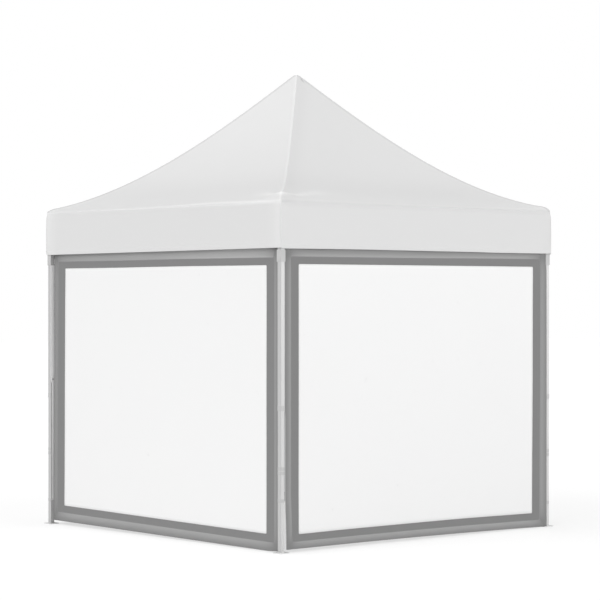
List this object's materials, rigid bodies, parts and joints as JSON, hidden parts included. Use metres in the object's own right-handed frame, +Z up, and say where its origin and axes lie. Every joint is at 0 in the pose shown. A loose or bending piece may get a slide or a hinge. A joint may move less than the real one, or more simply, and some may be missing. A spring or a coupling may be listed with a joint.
{
  "type": "pop-up marquee tent with four window walls",
  "caption": "Square pop-up marquee: telescopic aluminium legs, scissor trusses, white pagoda canopy with a deep valance and grey-bordered window walls.",
  "frame": {"origin": "on the ground at the tent's centre, under the mast", "axes": "+Z up, -Y out of the front wall, +X towards the right wall"},
  "size_m": [3.014, 3.014, 3.7498],
  "materials": {
    "canopy_fabric": "coated woven polyester, matte white",
    "border_fabric": "coated woven polyester, mid grey",
    "window_sheet": "smooth milky PVC sheet",
    "leg_metal": "satin, light silver",
    "bracket_plastic": "moulded, light grey"
  },
  "bodies": {
    "tent": {"upper_leg_front_left": "leg_metal", "leg_collar_front_left": "bracket_plastic", "slider_bracket_front_left": "bracket_plastic", "corner_bracket_front_left": "bracket_plastic", "upper_leg_front_right": "leg_metal", "leg_collar_front_right": "bracket_plastic", "slider_bracket_front_right": "bracket_plastic", "corner_bracket_front_right": "bracket_plastic", "upper_leg_back_right": "leg_metal", "leg_collar_back_right": "bracket_plastic", "slider_bracket_back_right": "bracket_plastic", "corner_bracket_back_right": "bracket_plastic", "upper_leg_back_left": "leg_metal", "leg_collar_back_left": "bracket_plastic", "slider_bracket_back_left": "bracket_plastic", "corner_bracket_back_left": "bracket_plastic", "side_truss_front": "leg_metal", "inner_truss_front": "leg_metal", "roof_front": "canopy_fabric", "valance_front": "canopy_fabric", "wall_front": "border_fabric", "window_front": "window_sheet", "side_truss_right": "leg_metal", "inner_truss_right": "leg_metal", "roof_right": "canopy_fabric", "valance_right": "canopy_fabric", "wall_right": "border_fabric", "window_right": "window_sheet", "side_truss_back": "leg_metal", "inner_truss_back": "leg_metal", "roof_back": "canopy_fabric", "valance_back": "canopy_fabric", "wall_back": "border_fabric", "window_back": "window_sheet", "side_truss_left": "leg_metal", "inner_truss_left": "leg_metal", "roof_left": "canopy_fabric", "valance_left": "canopy_fabric", "wall_left": "border_fabric", "window_left": "window_sheet", "centre_mast": "leg_metal"},
    "telescope_front_left": {"lower_leg_front_left": "leg_metal"},
    "telescope_front_right": {"lower_leg_front_right": "leg_metal"},
    "telescope_back_right": {"lower_leg_back_right": "leg_metal"},
    "telescope_back_left": {"lower_leg_back_left": "leg_metal"}
  },
  "joints": [
    {"name": "leg_extension_front_left", "type": "slide", "parent": "tent", "child": "telescope_front_left", "axis": [0, 0, -1], "range_m": [0, 0.15]},
    {"name": "leg_extension_front_right", "type": "slide", "parent": "tent", "child": "telescope_front_right", "axis": [0, 0, -1], "range_m": [0, 0.15]},
    {"name": "leg_extension_back_right", "type": "slide", "parent": "tent", "child": "telescope_back_right", "axis": [0, 0, -1], "range_m": [0, 0.15]},
    {"name": "leg_extension_back_left", "type": "slide", "parent": "tent", "child": "telescope_back_left", "axis": [0, 0, -1], "range_m": [0, 0.15]}
  ]
}
